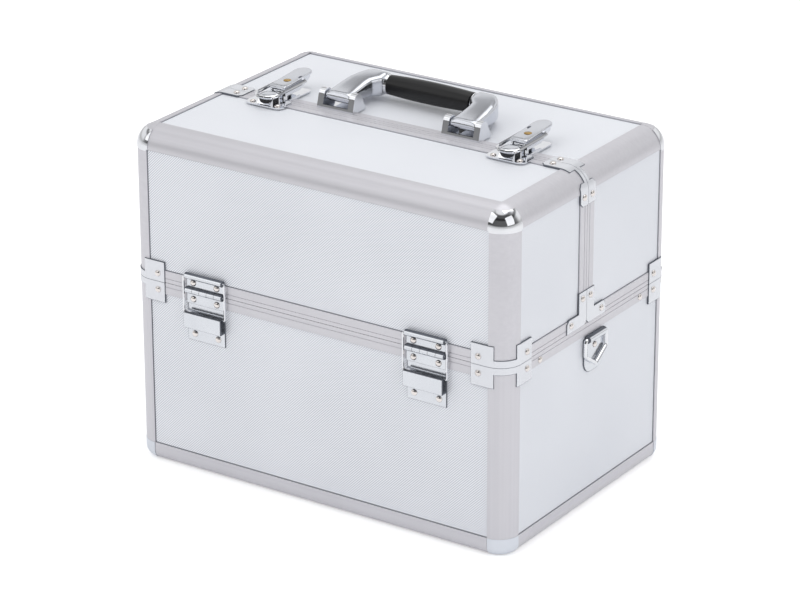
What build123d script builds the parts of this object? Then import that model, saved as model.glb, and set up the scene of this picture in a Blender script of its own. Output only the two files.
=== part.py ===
from build123d import *
import math
import os

# Aluminium make-up train case: a box base under two lid halves that open outward from a split
# across the top, with cantilever trays inside. Millimetres, +Z up, X along the long side,
# -Y is the front. The origin is under the middle of the case, on the plane it stands on.

# ---- overall case ----
case_width = 360.0
case_depth = 245.0
case_top = 290.0
seam_height = 161.0
split_y = -8.5
seam_gap = 0.4

# ---- aluminium edge extrusions ----
round_leg = 18.0
bottom_leg = 15.2
bottom_radius = 8.0
channel_height = 10.0
channel_web = 1.2
rail_lip = 1.0
slot_depth = 4.0
groove_down = 3.2
groove_width = 0.6
groove_depth = 0.4

# ---- panels ----
panel_thick = 4.0
panel_clear = 0.05
liner_thick = 1.5
liner_margin = 0.5

# ---- thin steel skins: corner brackets, balls and caps ----
skin_thick = 0.8
ball_thick = 0.5
ball_skirt = 1.2
cap_wall = 0.5
cap_proud = 0.3
cap_seam = 0.4
strip_height = 5.5
tab_drop = 17.0
tab_start = 13.0
tab_end = 33.0
split_strip = 3.4
split_plate_wide = 11.0
split_plate_start = 10.0
split_top_end = 36.0
split_side_end = 28.5
split_corner_cut = 3.0
tee_leg = 28.5
tee_wide = 11.0

# ---- hinge with wire stay ----
hinge_inset = 74.0
leaf_width = 36.0
leaf_thick = 1.0
barrel_radius = 2.3
barrel_out = 2.5
pin_radius = 1.2
knuckle_count = 5
knuckle_gap = 0.3
leaf_relief = 0.5
stay_rise = 12.3
stay_length = 31.5
stay_wire = 1.0
stay_side_gap = 1.3
stay_corner = 2.2
curl_wall = 1.2
pocket_clear = 3.1
pocket_wall = 0.8
pocket_mouth = 18.5
pocket_floor = 30.0
plate_foot = 43.5

# ---- running fits, and the flats of small round sections ----
fit_clear = 0.06
pin_seat = 0.02
wire_sides = 8
stud_sides = 12
bore_sides = 16

# ---- strap ring ----
ring_y = 5.0
ring_wire = 1.6
ring_half = 16.0
ring_pivot_drop = 14.0
ring_side = 13.5
ring_point = 10.5
ring_bend = 2.6
ring_roll = 25.0
ring_plate_half = 14.5
ring_plate_drop = 29.5
ring_plate_corner = 10.0
ring_plate_thick = 1.2
ring_stand_off = 0.3
roll_wall = 1.2

# ---- handle ----
bracket_x = 60.0
bracket_width = 35.0
bracket_front = -5.5
bracket_back = 13.0
bracket_sill = 3.4
bracket_wall = 1.6
ear_thick = 5.5
ear_radius = 5.4
handle_pivot_y = 2.5
handle_pivot_up = 10.0
handle_pin = 2.0
handle_eye = 4.6
handle_side_gap = 0.4
grip_y = 45.0
grip_up = 11.8
grip_radius = 9.4
grip_end_radius = 8.2
grip_half = 42.0
grip_collar = 2.5
collar_radius = 7.4
core_radius = 4.0
arm_end_x = 75.0
arm_back_corner = 16.0
arm_inner_corner = 9.0
arm_socket = 9.6

# ---- latch ----
latch_inset = 64.5
latch_plate_thick = 1.2
latch_plate_half = 12.5
latch_plate_back = 24.0
latch_corner = 3.0
fulcrum_y = -5.0
fulcrum_up = 6.6
fulcrum_pin = 1.4
latch_ear_radius = 2.6
latch_ear_in = 5.2
latch_ear_thick = 1.2
lever_half = 7.75
lever_sheet = 1.2
lever_front = -8.2
lever_back = 36.0
lever_front_up = 10.6
lever_back_up = 14.0
lever_flange_back = 28.0
lever_flange_up = 3.4
lever_slot_wide = 1.6
lever_slot_long = 6.0
lever_slot_y = 15.0
lock_radius = 3.4
lock_foot = 1.0
key_slit = 0.8
key_depth = 2.0
lock_y = 7.0
bail_wire = 1.4
bail_half = 9.7
bail_front = -29.0
bail_front_up = 8.4
bail_pivot_y = 20.0
bail_pivot_up = 9.6
bail_end = 6.4
bail_end_bend = 1.8
bail_corner = 9.0
catch_half = 18.0
catch_front = -29.0
catch_back = -9.0
catch_corner = 6.0
hook_half = 6.5
hook_front = -27.5
hook_back = -13.0
hook_top_up = 5.2
hook_slope = 4.5

# ---- cantilever trays ----
tray_wall = 2.0
tray_height = 34.0
tray_gap_outer = 10.5
tray_gap_split = 5.0
tray_low_drop = 10.0
tray_stack_gap = 2.0
tray_end_clear = 5.4
tray_high_extra = 0.4
tray_corner = 4.0
tray_floor_round = 2.0
low_pockets = 3
high_pockets = 5
arm_start_deg = 15.0
arm_base_inset = 46.5
arm_base_drop = 6.5
arm_first = 34.0
arm_second = 59.0
link_dy = 12.5
link_dz = 6.2
arm_wide = 7.0
arm_thick = 1.5
arm_wall_gap = 1.1
stud_radius = 1.6
stud_head = 2.8
stud_head_thick = 0.5
stud_gap = 0.1
bracket_sheet = 1.0
bracket_boss = 5.0
base_stud_spacer = 2.3

# ---- worked out from the above ----
half_w = case_width / 2
half_d = case_depth / 2
hinge_x = half_w - hinge_inset
latch_x = half_w - latch_inset
foot = cap_proud
panel_face = rail_lip + panel_clear
panel_back = panel_face + panel_thick
slot_back = panel_back + panel_clear
rail_back = slot_back + rail_lip
base_top = seam_height - seam_gap / 2
lid_bottom = seam_height + seam_gap / 2
panel_edge = channel_web + panel_clear
wall_x = half_w - rail_back
tray_low_half = wall_x - tray_end_clear
tray_high_half = tray_low_half + tray_high_extra
tray_low_bottom = seam_height - tray_low_drop
arm_outer_face = wall_x - arm_wall_gap
arm_inner_x = arm_outer_face - arm_thick
arm_base_y = half_d - arm_base_inset
arm_base_z = seam_height - arm_base_drop
through = case_top
parts = {}


def block(x0, x1, y0, y1, z0, z1):
    """A box between two opposite corners."""
    size = (abs(x1 - x0), abs(y1 - y0), abs(z1 - z0))
    return Pos((x0 + x1) / 2, (y0 + y1) / 2, (z0 + z1) / 2) * Box(*size)


def flat(u0, u1, v0, v1):
    """A rectangle between two opposite corners of a sketch."""
    return Pos((u0 + u1) / 2, (v0 + v1) / 2) * Rectangle(abs(u1 - u0), abs(v1 - v0))


def along_x(sketch, x0, x1):
    """Extrude a sketch drawn in (y, z) between two x positions."""
    return extrude(Plane(origin=(x0, 0, 0), x_dir=(0, 1, 0), z_dir=(1, 0, 0)) * sketch, x1 - x0)


def rod_x(y, z, radius, x0, x1):
    """A round bar along X."""
    return along_x(Pos(y, z) * Circle(radius), x0, x1)


def facet_rod(y, z, radius, x0, x1, sides):
    """A small bar along X with flats, for pins, studs and bores."""
    return along_x(Pos(y, z) * RegularPolygon(radius, sides), x0, x1)


def rod_y(x, z, radius, y0, y1):
    """A round bar along Y."""
    disc = Plane(origin=(x, y0, z), x_dir=(1, 0, 0), z_dir=(0, 1, 0)) * Circle(radius)
    return extrude(disc, y1 - y0)


def bar(profile, middle, u_dir, v_dir, length):
    """Extrude an edge profile both ways from its middle; u and v point away from the edge."""
    normal = Vector(*u_dir).cross(Vector(*v_dir))
    plane = Plane(origin=middle, x_dir=u_dir, z_dir=normal)
    return extrude(plane * profile, length / 2, both=True)


def mirrored_y(solid):
    return mirror(solid, about=Plane.XZ)


def mirrored_x(solid):
    return mirror(solid, about=Plane.YZ)


def both_x(solid):
    """The piece and its twin on the other end of the case."""
    return [solid, mirrored_x(solid)]


def one_end(sign, solid):
    return solid if sign > 0 else mirrored_x(solid)


def keep(name, *solids):
    parts[name] = [piece for group in solids for piece in (group if isinstance(group, list) else [group])]


# ---- extrusion profiles ----
def edge_profile(leg, radius):
    """Quarter-round edge section with a slot for the panel on each of its two faces."""
    outside = flat(0, radius, 0, radius) - Pos(radius, radius) * Circle(radius)
    slot_u = flat(rail_lip, slot_back, leg - slot_depth, leg)
    slot_v = flat(leg - slot_depth, leg, rail_lip, slot_back)
    inside = flat(rail_back, leg, rail_back, leg)
    return flat(0, leg, 0, leg) - outside - slot_u - slot_v - inside


def channel_profile():
    """U channel that caps a panel edge, with a shadow groove along its outer wall."""
    section = flat(0, rail_back, 0, channel_height)
    slot = flat(rail_lip, slot_back, channel_web, channel_height)
    groove = flat(0, groove_depth, groove_down, groove_down + groove_width)
    return section - slot - groove


round_section = edge_profile(round_leg, round_leg)
bottom_section = edge_profile(bottom_leg, bottom_radius)
channel_section = channel_profile()


# ---- the outer form that the thin skins follow ----
def case_form(grow):
    form = block(-half_w - grow, half_w + grow, -half_d - grow, half_d + grow, foot - grow, case_top + grow)
    upright = form.edges().filter_by(Axis.Z)
    top_ring = form.faces().sort_by(Axis.Z)[-1].edges()
    form = fillet(upright + top_ring, round_leg + grow)
    bottom_ring = form.faces().sort_by(Axis.Z)[0].edges()
    return fillet(bottom_ring, bottom_radius + grow)


bare_form = case_form(0)
plate_skin = case_form(skin_thick) - bare_form
ball_skin = case_form(ball_thick) - bare_form
cap_skin = case_form(cap_proud) - case_form(-cap_wall)
reach = skin_thick + 1.0


def skin_on(region, skin=plate_skin):
    """The part of a skin inside a region."""
    return [solid for solid in (skin & region).solids()]


def corner_box(sx, sy, long_x, long_y, z0, z1):
    """A column at one upright corner of the case, measured inward from its two faces."""
    x0, x1 = sx * (half_w + reach), sx * (half_w - long_x)
    y0, y1 = sy * (half_d + reach), sy * (half_d - long_y)
    return block(min(x0, x1), max(x0, x1), min(y0, y1), max(y0, y1), z0, z1)


# ---- base ----
def base_panels():
    low = foot + bottom_leg - slot_depth + panel_clear
    high = base_top - panel_edge
    end_x = half_w - round_leg + slot_depth - panel_clear
    end_y = half_d - round_leg + slot_depth - panel_clear
    front = block(-end_x, end_x, -half_d + panel_face, -half_d + panel_back, low, high)
    right = block(half_w - panel_back, half_w - panel_face, -end_y, end_y, low, high)
    side = bottom_leg - slot_depth + panel_clear
    floor = block(-half_w + side, half_w - side, -half_d + side, half_d - side,
                  foot + panel_face, foot + panel_back)
    keep("base_long_panels", front, mirrored_y(front))
    keep("base_end_panels", both_x(right))
    keep("base_floor_panel", floor)
    inset = round_leg + liner_margin
    top = foot + panel_back
    keep("base_floor_liner", block(-half_w + inset, half_w - inset, -half_d + inset, half_d - inset,
                                   top, top + liner_thick))


def upright_posts(sy, z0, z1):
    """The two quarter-round posts at one long face."""
    middle = (half_w, sy * half_d, (z0 + z1) / 2)
    post = bar(round_section, middle, (-1, 0, 0), (0, -sy, 0), z1 - z0)
    return both_x(post)


def base_frame():
    posts = upright_posts(-1, foot + bottom_leg, base_top)
    posts += upright_posts(1, foot + bottom_leg, base_top)
    keep("base_posts", posts)
    long_rail = bar(bottom_section, (0, -half_d, foot), (0, 1, 0), (0, 0, 1), case_width - 2 * round_leg)
    end_rail = bar(bottom_section, (half_w, 0, foot), (-1, 0, 0), (0, 0, 1), case_depth - 2 * round_leg)
    keep("base_bottom_rails", long_rail, mirrored_y(long_rail), both_x(end_rail))
    long_belt = bar(channel_section, (0, -half_d, base_top), (0, 1, 0), (0, 0, -1), case_width - 2 * round_leg)
    end_belt = bar(channel_section, (half_w, 0, base_top), (-1, 0, 0), (0, 0, -1), case_depth - 2 * round_leg)
    keep("base_belt_rails", long_belt, mirrored_y(long_belt), both_x(end_belt))


def base_skins():
    size = round_leg - cap_seam
    caps = []
    brackets = []
    for sx in (-1, 1):
        for sy in (-1, 1):
            region = corner_box(sx, sy, size, size, foot - reach, foot + bottom_leg)
            caps += skin_on(region, cap_skin)
            tabs = corner_box(sx, sy, tab_end, tab_end, base_top - tab_drop, base_top)
            tabs -= corner_box(sx, sy, tab_start, tab_start, base_top - tab_drop, base_top - strip_height)
            brackets += skin_on(tabs)
    keep("base_corner_caps", caps)
    keep("base_belt_brackets", brackets)


# ---- lids ----
def lid_pieces(name, sy):
    """One lid half: sy is -1 at the front and 1 at the rear."""
    outer = sy * half_d
    inner = split_y + sy * seam_gap / 2
    side = round_leg - slot_depth + panel_clear
    low = lid_bottom + panel_edge
    end_x = half_w - side
    face = block(-end_x, end_x, outer - sy * panel_back, outer - sy * panel_face, low, case_top - side)
    top = block(-end_x, end_x, outer - sy * side, inner + sy * panel_edge,
                case_top - panel_back, case_top - panel_face)
    end = block(half_w - panel_back, half_w - panel_face, outer - sy * side, inner + sy * panel_edge,
                low, case_top - side)
    keep(name + "_face_panel", face)
    keep(name + "_top_panel", top)
    keep(name + "_end_panels", both_x(end))
    span = case_width - 2 * round_leg
    end_mid = (outer - sy * round_leg + inner) / 2
    end_long = abs(outer - sy * round_leg - inner)
    top_long = bar(round_section, (0, outer, case_top), (0, -sy, 0), (0, 0, -1), span)
    top_end = bar(round_section, (half_w, end_mid, case_top), (-1, 0, 0), (0, 0, -1), end_long)
    posts = upright_posts(sy, lid_bottom, case_top - round_leg)
    keep(name + "_round_rails", top_long, both_x(top_end), posts)
    belt_long = bar(channel_section, (0, outer, lid_bottom), (0, -sy, 0), (0, 0, 1), span)
    belt_end = bar(channel_section, (half_w, end_mid, lid_bottom), (-1, 0, 0), (0, 0, 1), end_long)
    upright_low = lid_bottom + channel_height
    upright_mid = (upright_low + case_top - round_leg) / 2
    upright_long = case_top - round_leg - upright_low
    split_top = bar(channel_section, (0, inner, case_top), (0, 0, -1), (0, sy, 0), span)
    split_end = bar(channel_section, (half_w, inner, upright_mid), (-1, 0, 0), (0, sy, 0), upright_long)
    keep(name + "_channel_rails", belt_long, both_x(belt_end), split_top, both_x(split_end))


def lid_skins(name, sy):
    inner = split_y + sy * seam_gap / 2
    leg, wide = round_leg, round_leg + ball_skirt
    balls = []
    brackets = []
    for sx in (-1, 1):
        region = corner_box(sx, sy, wide, leg, case_top - leg, case_top + reach)
        region += corner_box(sx, sy, leg, wide, case_top - leg, case_top + reach)
        region += corner_box(sx, sy, leg, leg, case_top - wide, case_top + reach)
        balls += skin_on(region, ball_skin)
        tabs = corner_box(sx, sy, tab_end, tab_end, lid_bottom, lid_bottom + tab_drop)
        tabs -= corner_box(sx, sy, tab_start, tab_start, lid_bottom + strip_height, lid_bottom + tab_drop)
        brackets += skin_on(tabs)
        brackets += skin_on(split_region(sx, sy, inner))
        brackets += skin_on(tee_region(sx, sy, inner))
    keep(name + "_ball_corners", balls)
    keep(name + "_brackets", brackets)


def split_region(sx, sy, inner):
    """Strap over the top edge beside the split, with a riveted plate on the top and on the end."""
    x_out = sx * (half_w + reach)
    x_plate = sx * (half_w - split_plate_start)
    x_top = sx * (half_w - split_top_end)
    z_plate = case_top - split_plate_start
    z_end = case_top - split_side_end
    z_out = case_top + reach
    strip = block(x_plate, x_out, inner, inner + sy * split_strip, z_plate, z_out)
    over = block(x_top, x_plate, inner, inner + sy * split_plate_wide, z_plate, z_out)
    down = block(x_plate, x_out, inner, inner + sy * split_plate_wide, z_end, z_plate)
    outer = inner + sy * split_plate_wide
    size = split_corner_cut * math.sqrt(2)
    over -= Pos(x_top, outer, z_out) * Rot(0, 0, 45) * Box(size, size, through)
    down -= Pos(x_out, outer, z_end) * Rot(45, 0, 0) * Box(through, size, size)
    down -= Pos(x_out, outer, z_plate) * Rot(45, 0, 0) * Box(through, size, size)
    return strip + over + down


def tee_region(sx, sy, inner):
    """L plate where the split rail meets the belt rail, mitred at the split."""
    x_out = sx * (half_w + reach)
    x_in = sx * (half_w - round_leg / 2)
    outer = inner + sy * tee_leg
    upright = block(x_in, x_out, inner, inner + sy * tee_wide, lid_bottom, lid_bottom + tee_leg)
    along = block(x_in, x_out, inner, outer, lid_bottom, lid_bottom + tee_wide)
    size = split_corner_cut * math.sqrt(2)
    plate = upright + along
    plate -= Pos(x_out, outer, lid_bottom + tee_wide) * Rot(45, 0, 0) * Box(through, size, size)
    return plate - Pos(x_out, inner, lid_bottom) * Rot(45, 0, 0) * Box(through, size, size)


# ---- hinges with wire stays ----
def hinge_y(out):
    """y of a point that stands out from the front face."""
    return -half_d - out


def knuckles(first):
    """Barrel stretches of one leaf, every other one along the hinge."""
    pitch = leaf_width / knuckle_count
    spans = []
    for index in range(first, knuckle_count, 2):
        start = hinge_x - leaf_width / 2 + index * pitch
        spans.append((start + knuckle_gap / 2, start + pitch - knuckle_gap / 2))
    return spans


def hinge_leaf(first, side, clear):
    """Barrel stretches and the plate beside them; side is -1 below the seam and 1 above it."""
    x0, x1 = hinge_x - leaf_width / 2, hinge_x + leaf_width / 2
    near = barrel_radius + leaf_relief
    leaf = block(x0, x1, hinge_y(leaf_thick), hinge_y(0), seam_height + side * near,
                 seam_height + side * (channel_height + seam_gap))
    for start, stop in knuckles(first):
        web = block(start, stop, hinge_y(leaf_thick), hinge_y(0), seam_height, seam_height + side * near)
        leaf += web + facet_rod(hinge_y(barrel_out), seam_height, barrel_radius, start, stop, bore_sides)
    return leaf - facet_rod(hinge_y(barrel_out), seam_height, pin_radius + clear, x0, x1, bore_sides)


def base_leaf():
    """Lower leaf, stepped down onto the panel, with the folded pocket that guides the stay."""
    x0, x1 = hinge_x - leaf_width / 2, hinge_x + leaf_width / 2
    step = seam_height - channel_height - seam_gap
    back = hinge_y(-rail_lip)
    face = hinge_y(leaf_thick - rail_lip)
    pocket_face = hinge_y(barrel_out + pocket_clear)
    pocket_out = hinge_y(barrel_out + pocket_clear + pocket_wall)
    floor = seam_height - pocket_floor
    leaf = hinge_leaf(0, -1, pin_seat)
    leaf += block(x0, x1, hinge_y(leaf_thick), back, step - leaf_thick, step)
    leaf += block(x0, x1, face, back, seam_height - plate_foot, step)
    leaf += block(x0, x1, pocket_out, face, floor - leaf_thick, floor)
    leaf += block(x0, x1, pocket_out, pocket_face, floor - leaf_thick, seam_height - pocket_mouth)
    return leaf


def lid_leaf():
    """Upper leaf with a curl along its top edge that carries the stay."""
    x0, x1 = hinge_x - leaf_width / 2, hinge_x + leaf_width / 2
    z = seam_height + stay_rise
    leaf = hinge_leaf(1, 1, fit_clear)
    leaf += block(x0, x1, hinge_y(leaf_thick), hinge_y(0), seam_height + channel_height, z)
    leaf += facet_rod(hinge_y(barrel_out), z, stay_wire + fit_clear + curl_wall, x0, x1, bore_sides)
    return leaf - facet_rod(hinge_y(barrel_out), z, stay_wire + fit_clear, x0, x1, bore_sides)


def wire_stay():
    """Closed wire hoop: its top bar turns in the leaf's curl, its bottom bar rides in the pocket."""
    width = leaf_width + 2 * (stay_side_gap + stay_wire)
    middle = (hinge_x, hinge_y(barrel_out), seam_height + stay_rise - stay_length / 2)
    loop = Plane(origin=middle, x_dir=(1, 0, 0), z_dir=(0, -1, 0)) * RectangleRounded(width, stay_length, stay_corner)
    path = loop.wire()
    section = Plane(origin=path @ 0, z_dir=path % 0) * RegularPolygon(stay_wire, wire_sides)
    return sweep(section, path=path)


def hinges():
    """Two hinges on each long face."""
    pin = facet_rod(hinge_y(barrel_out), seam_height, pin_radius, hinge_x - leaf_width / 2,
                    hinge_x + leaf_width / 2, bore_sides)
    lower, upper, wire = base_leaf(), lid_leaf(), wire_stay()
    keep("hinge_base_leaves", both_x(lower), both_x(mirrored_y(lower)))
    keep("hinge_pins", both_x(pin), both_x(mirrored_y(pin)))
    keep("front_hinge_lid_leaves", both_x(upper))
    keep("rear_hinge_lid_leaves", both_x(mirrored_y(upper)))
    keep("front_stay_wires", both_x(wire))
    keep("rear_stay_wires", both_x(mirrored_y(wire)))


# ---- strap rings ----
def strap_ring_set():
    """Riveted plate with a rolled top edge, and the pentagon ring that hangs from it."""
    surface = half_w - panel_face
    pivot_x = surface + ring_plate_thick + ring_stand_off + ring_wire
    pivot_z = seam_height - ring_pivot_drop
    bore = ring_wire + fit_clear
    y0, y1 = ring_y - ring_roll / 2, ring_y + ring_roll / 2
    plate = block(surface, surface + ring_plate_thick, ring_y - ring_plate_half, ring_y + ring_plate_half,
                  pivot_z - ring_plate_drop, pivot_z)
    low_corners = plate.edges().filter_by(Axis.X).sort_by(Axis.Z)[:2]
    plate = fillet(low_corners, ring_plate_corner)
    plate += rod_y(pivot_x, pivot_z, bore + roll_wall, y0, y1)
    plate -= rod_y(pivot_x, pivot_z, bore, y0, y1)
    plate -= block(surface - ring_plate_drop, surface, y0, y1, pivot_z - ring_plate_drop, seam_height)
    corners = [(pivot_x, ring_y - ring_half, pivot_z), (pivot_x, ring_y + ring_half, pivot_z),
               (pivot_x, ring_y + ring_half, pivot_z - ring_side),
               (pivot_x, ring_y, pivot_z - ring_side - ring_point),
               (pivot_x, ring_y - ring_half, pivot_z - ring_side)]
    path = FilletPolyline(*corners, radius=ring_bend, close=True)
    section = Plane(origin=path @ 0, z_dir=path % 0) * RegularPolygon(ring_wire, wire_sides)
    ring = sweep(section, path=path)
    keep("strap_plates", both_x(plate))
    keep("right_strap_ring", ring)
    keep("left_strap_ring", mirrored_x(ring))


# ---- handle ----
def handle_bracket():
    """Cast foot with a low front sill and two ears."""
    half = bracket_width / 2
    pivot_z = case_top + handle_pivot_up
    ear = Pos(handle_pivot_y, pivot_z) * Circle(ear_radius)
    foot_bar = flat(bracket_front, bracket_back, case_top, case_top + bracket_wall)
    bracket = along_x(make_hull(ear.edges() + foot_bar.edges()), bracket_x - half, bracket_x + half)
    x0, x1 = bracket_x - half + ear_thick, bracket_x + half - ear_thick
    inside = block(x0, x1, bracket_front + bracket_wall, through, case_top + bracket_wall, case_top + through)
    above = block(x0, x1, -through, through, case_top + bracket_sill, case_top + through)
    bore = rod_x(handle_pivot_y, pivot_z, handle_pin, bracket_x - half, bracket_x + half)
    return bracket - inside - above - bore


def handle_arm():
    """Cast arm: an eye at the pivot, a flat plate that widens and turns in, and a socket for the grip."""
    pivot_z = case_top + handle_pivot_up
    grip_z = case_top + grip_up
    eye_half = bracket_width / 2 - ear_thick - handle_side_gap
    near, far = handle_pivot_y - handle_eye, grip_y + arm_socket
    elbow = grip_y - arm_socket
    inner_x, outer_x = bracket_x - eye_half, bracket_x + eye_half
    plan = make_face(Polyline(
        (inner_x, near), (outer_x, near), (outer_x, bracket_back), (arm_end_x, elbow), (arm_end_x, far),
        (grip_half, far), (grip_half, elbow), (inner_x, elbow - arm_inner_corner), (inner_x, near)))
    corners = plan.vertices()
    plan = fillet(corners.sort_by(lambda v: v.Y - far + v.X - arm_end_x)[-1], arm_back_corner)
    body = extrude(Plane(origin=(0, 0, case_top)) * plan, grip_up + 2 * arm_socket)
    eye = Pos(handle_pivot_y, pivot_z) * Circle(handle_eye)
    socket = Pos(grip_y, grip_z) * Circle(arm_socket)
    arm = body & along_x(make_hull(eye.edges() + socket.edges()), 0, case_width)
    arm -= rod_x(handle_pivot_y, pivot_z, handle_pin + fit_clear, 0, case_width)
    arm += rod_x(grip_y, grip_z, collar_radius, grip_half - grip_collar, grip_half)
    return arm - rod_x(grip_y, grip_z, core_radius, 0, grip_half + arm_socket)


def handle():
    pivot_z = case_top + handle_pivot_up
    grip_z = case_top + grip_up
    keep("handle_brackets", both_x(handle_bracket()))
    keep("handle_arms", both_x(handle_arm()))
    reach_in = grip_half + arm_socket
    keep("handle_core_rod", rod_x(grip_y, grip_z, core_radius, -reach_in, reach_in))
    end = grip_half - grip_collar
    swell = ThreePointArc((-end, grip_end_radius), (0, grip_radius), (end, grip_end_radius))
    rest = Polyline((end, grip_end_radius), (end, core_radius), (-end, core_radius), (-end, grip_end_radius))
    middle = Plane(origin=(0, grip_y, grip_z), x_dir=(1, 0, 0), z_dir=(0, -1, 0))
    grip = revolve(middle * make_face(swell + rest), axis=Axis((0, grip_y, grip_z), (1, 0, 0)))
    keep("handle_grip", grip)


# ---- latches ----
def rounded_plate(x_mid, half, y0, y1, z0, thick, corner):
    plate = block(x_mid - half, x_mid + half, y0, y1, z0, z0 + thick)
    return fillet(plate.edges().filter_by(Axis.Z), corner)


def latch_base():
    plate = rounded_plate(latch_x, latch_plate_half, split_y + seam_gap, latch_plate_back,
                          case_top, latch_plate_thick, latch_corner)
    up = case_top + fulcrum_up
    ear = Pos(fulcrum_y, up) * Circle(latch_ear_radius)
    ear += flat(fulcrum_y - latch_ear_radius, fulcrum_y + latch_ear_radius, case_top + latch_plate_thick, up)
    for sign in (-1, 1):
        inner = latch_x + sign * latch_ear_in
        outer = inner + sign * latch_ear_thick
        plate += along_x(ear, min(inner, outer), max(inner, outer))
    return plate - rod_x(fulcrum_y, up, fulcrum_pin, latch_x - lever_half, latch_x + lever_half)


def latch_lever():
    """Pressed lever: a sloping sheet with a round tip and two side flanges on the fulcrum pin."""
    front_z, back_z = case_top + lever_front_up, case_top + lever_back_up
    top = make_face(Polyline((lever_front, front_z - lever_sheet), (lever_front, front_z), (lever_back, back_z),
                             (lever_back, back_z - lever_sheet), (lever_front, front_z - lever_sheet)))
    lever = along_x(top, latch_x - lever_half, latch_x + lever_half)
    tip_y = lever_back - lever_half
    tip = block(latch_x - lever_half, latch_x + lever_half, tip_y, lever_back, case_top, case_top + through)
    tip -= extrude(Plane(origin=(latch_x, tip_y, case_top)) * Circle(lever_half), through)
    lever -= tip
    slope = (back_z - front_z) / (lever_back - lever_front)
    flange_z = front_z - lever_sheet / 2 + slope * (lever_flange_back - lever_front)
    flange = make_face(Polyline((lever_front + lever_sheet, case_top + lever_flange_up),
                                (lever_flange_back / 2, case_top + lever_flange_up),
                                (lever_flange_back, flange_z - lever_sheet * 2), (lever_flange_back, flange_z),
                                (lever_front + lever_sheet, front_z - lever_sheet / 2),
                                (lever_front + lever_sheet, case_top + lever_flange_up)))
    lever += along_x(flange, latch_x - lever_half, latch_x - lever_half + lever_sheet)
    lever += along_x(flange, latch_x + lever_half - lever_sheet, latch_x + lever_half)
    lever -= rod_x(fulcrum_y, case_top + fulcrum_up, fulcrum_pin + fit_clear,
                   latch_x - lever_half, latch_x + lever_half)
    lever -= rod_x(bail_pivot_y, case_top + bail_pivot_up, bail_wire + fit_clear,
                   latch_x - lever_half, latch_x + lever_half)
    well = Plane(origin=(latch_x, lock_y, case_top)) * Circle(lock_radius)
    slot = block(latch_x - lever_slot_wide / 2, latch_x + lever_slot_wide / 2, lever_slot_y,
                 lever_slot_y + lever_slot_long, case_top, case_top + through)
    return lever - extrude(well, through) - slot


def lock_barrel():
    """Key cylinder that fills the lever's round well."""
    low = case_top + latch_plate_thick + lock_foot
    rise = lever_front_up + (lever_back_up - lever_front_up) * (lock_y - lever_front) / (lever_back - lever_front)
    barrel = extrude(Plane(origin=(latch_x, lock_y, low)) * Circle(lock_radius), case_top + rise - low)
    key = block(latch_x - lock_radius / 2, latch_x + lock_radius / 2, lock_y - key_slit / 2, lock_y + key_slit / 2,
                case_top + rise - key_depth, case_top + through)
    return barrel - key


def catch_plate():
    """Keeper on the front lid: a riveted plate with a low ramped saddle under the bail's bow."""
    plate = rounded_plate(latch_x, catch_half, catch_front, catch_back, case_top, latch_plate_thick, catch_corner)
    low, high = case_top + latch_plate_thick / 2, case_top + hook_top_up
    saddle = make_face(Polyline((hook_front, low), (hook_front + hook_slope, high), (hook_back, high),
                                (hook_back, low), (hook_front, low)))
    return plate + along_x(saddle, latch_x - hook_half, latch_x + hook_half)


def wire_bail():
    """Wire loop round the lever; its ends turn inward into the lever's side flanges."""
    low, high = case_top + bail_front_up, case_top + bail_pivot_up
    corners = []
    for x, y, z in ((-bail_end, bail_pivot_y, high), (-bail_half, bail_pivot_y, high), (-bail_half, bail_front, low),
                    (bail_half, bail_front, low), (bail_half, bail_pivot_y, high), (bail_end, bail_pivot_y, high)):
        corners.append((latch_x + x, y, z))
    path = FilletPolyline(*corners, radius=[bail_end_bend, bail_corner, bail_corner, bail_end_bend])
    section = Plane(origin=path @ 0, z_dir=path % 0) * RegularPolygon(bail_wire, wire_sides)
    return sweep(section, path=path)


def pivot_pins():
    """Fixed pins of the rear lid: one across each handle bracket and one across each latch."""
    half = bracket_width / 2
    handle_z = case_top + handle_pivot_up
    latch_z = case_top + fulcrum_up
    handle_rod = rod_x(handle_pivot_y, handle_z, handle_pin, bracket_x - half, bracket_x + half)
    latch_rod = rod_x(fulcrum_y, latch_z, fulcrum_pin, latch_x - lever_half, latch_x + lever_half)
    keep("lid_pivot_pins", both_x(handle_rod), both_x(latch_rod))


def latches():
    keep("latch_bases", both_x(latch_base()))
    keep("catch_plates", both_x(catch_plate()))
    for name, sign in (("right", 1), ("left", -1)):
        keep(name + "_latch_lever", one_end(sign, latch_lever()))
        keep(name + "_latch_lock", one_end(sign, lock_barrel()))
        keep(name + "_latch_bail", one_end(sign, wire_bail()))


# ---- cantilever trays and their linkage ----
def arm_point(length):
    """Closed position of a pin along the long arm, as (distance from the split side, z)."""
    turn = math.radians(arm_start_deg)
    return (arm_base_y - length * math.cos(turn), arm_base_z + length * math.sin(turn))


base_pin = (arm_base_y, arm_base_z)
low_pin = arm_point(arm_first)
high_pin = arm_point(arm_second)
base_link_pin = (base_pin[0] - link_dy, base_pin[1] - link_dz)
low_link_pin = (low_pin[0] - link_dy, low_pin[1] - link_dz)
low_rise_pin = (low_pin[0] + link_dy, low_pin[1] + link_dz)
high_rise_pin = (high_pin[0] + link_dy, high_pin[1] + link_dz)


def strip_arm(pins, sy):
    """Flat bar with round ends through two or three pins, on one end of the case."""
    discs = Pos(sy * pins[0][0], pins[0][1]) * RegularPolygon(arm_wide / 2, bore_sides)
    discs += Pos(sy * pins[-1][0], pins[-1][1]) * RegularPolygon(arm_wide / 2, bore_sides)
    arm = along_x(make_hull(discs.edges()), arm_inner_x, arm_outer_face)
    for y, z in pins:
        arm -= facet_rod(sy * y, z, stud_radius + fit_clear, arm_inner_x, arm_outer_face, bore_sides)
    return arm


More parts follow.
